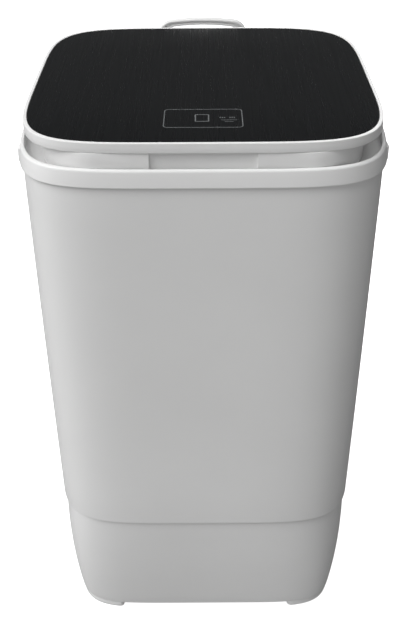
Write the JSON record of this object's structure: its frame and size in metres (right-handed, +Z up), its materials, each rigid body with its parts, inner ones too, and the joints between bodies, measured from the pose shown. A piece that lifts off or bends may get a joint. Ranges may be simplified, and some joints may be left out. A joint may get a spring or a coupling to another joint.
{
  "type": "top load washing machine",
  "caption": "Compact top load washing machine: tapering white cabinet, black touch-panel lid hinged at the rear, round tub with pulsator, rear carrying handle.",
  "frame": {"origin": "centre of the machine's footprint box, on the floor", "axes": "+Z up, front faces -Y, +X to the right of a person who faces the front"},
  "size_m": [0.4006, 0.41, 0.71],
  "materials": {
    "white_plastic": "satin moulded",
    "black_plate": "glossy, finely brushed",
    "tub_plastic": "smooth",
    "pulsator_plastic": "smooth",
    "grey_plastic": "matt",
    "black_plastic": "matt",
    "blue_plastic": "matt",
    "circuit_board": "lacquered",
    "rubber": "matt",
    "steel": "ground",
    "zinc_steel": "zinc plated",
    "cast_aluminium": "as cast",
    "bronze": "sintered",
    "motor_paint": "satin black",
    "windings": "varnished laminations and windings"
  },
  "bodies": {
    "cabinet": {"base_shell": "white_plastic", "bottom_cover": "grey_plastic", "cover_screws": "steel", "foot_front_left": "white_plastic", "foot_front_right": "white_plastic", "foot_rear_left": "white_plastic", "foot_rear_right": "white_plastic", "foot_pads": "rubber", "cabinet_shell": "white_plastic", "collar": "white_plastic", "collar_clip_left": "white_plastic", "collar_clip_right": "white_plastic", "rear_handle": "white_plastic", "handle_screws": "steel", "wash_tub": "tub_plastic", "tub_gasket": "rubber", "tub_screws": "steel", "lint_filter": "blue_plastic", "drain_grille": "tub_plastic", "drain_elbow": "grey_plastic", "drain_hose_inner": "rubber", "drain_outlet": "grey_plastic", "bearing_housing": "cast_aluminium", "upper_bush": "bronze", "lower_bush": "bronze", "shaft_seal": "rubber", "support_frame": "zinc_steel", "frame_screws": "steel", "motor_housing": "motor_paint", "motor_end_bell": "motor_paint", "motor_stator": "windings", "motor_mounts": "rubber", "motor_screws": "steel", "capacitor": "cast_aluminium", "capacitor_clamp": "zinc_steel", "control_box": "grey_plastic", "cable_gland": "black_plastic", "lid_switch": "grey_plastic", "drive_belt": "rubber", "hinge_bracket_left": "white_plastic", "hinge_bracket_right": "white_plastic", "hinge_pin_left": "steel", "hinge_pin_right": "steel", "lid_bumpers": "rubber"},
    "lid": {"lid_rim": "white_plastic", "lid_plate": "black_plate", "lid_inner_cover": "white_plastic", "touch_board": "circuit_board", "lid_screws": "steel", "lid_magnet": "zinc_steel"},
    "pulsator": {"pulsator": "pulsator_plastic", "pulsator_cap": "grey_plastic", "pulsator_screw": "steel", "pulsator_shaft": "steel", "drive_pulley": "cast_aluminium", "pulley_nut": "zinc_steel"},
    "motor_rotor": {"rotor_core": "windings", "rotor_shaft": "steel", "motor_pulley": "cast_aluminium", "motor_fan": "black_plastic"}
  },
  "joints": [
    {"name": "lid_hinge", "type": "hinge", "parent": "cabinet", "child": "lid", "pos_m": [0, 0.1745, 0.686], "axis": [-1, 0, 0], "range_deg": [0, 95]},
    {"name": "motor_spin", "type": "hinge", "parent": "cabinet", "child": "motor_rotor", "pos_m": [0.083, 0.0745, 0.132], "axis": [0, 0, 1], "continuous": true},
    {"name": "pulsator_spin", "type": "hinge", "parent": "cabinet", "child": "pulsator", "pos_m": [0, -0.0085, 0.132], "axis": [0, 0, 1], "continuous": true}
  ],
  "couplings": [
    {"joint": "pulsator_spin", "follows": "motor_spin", "ratio": 0.28571}
  ]
}
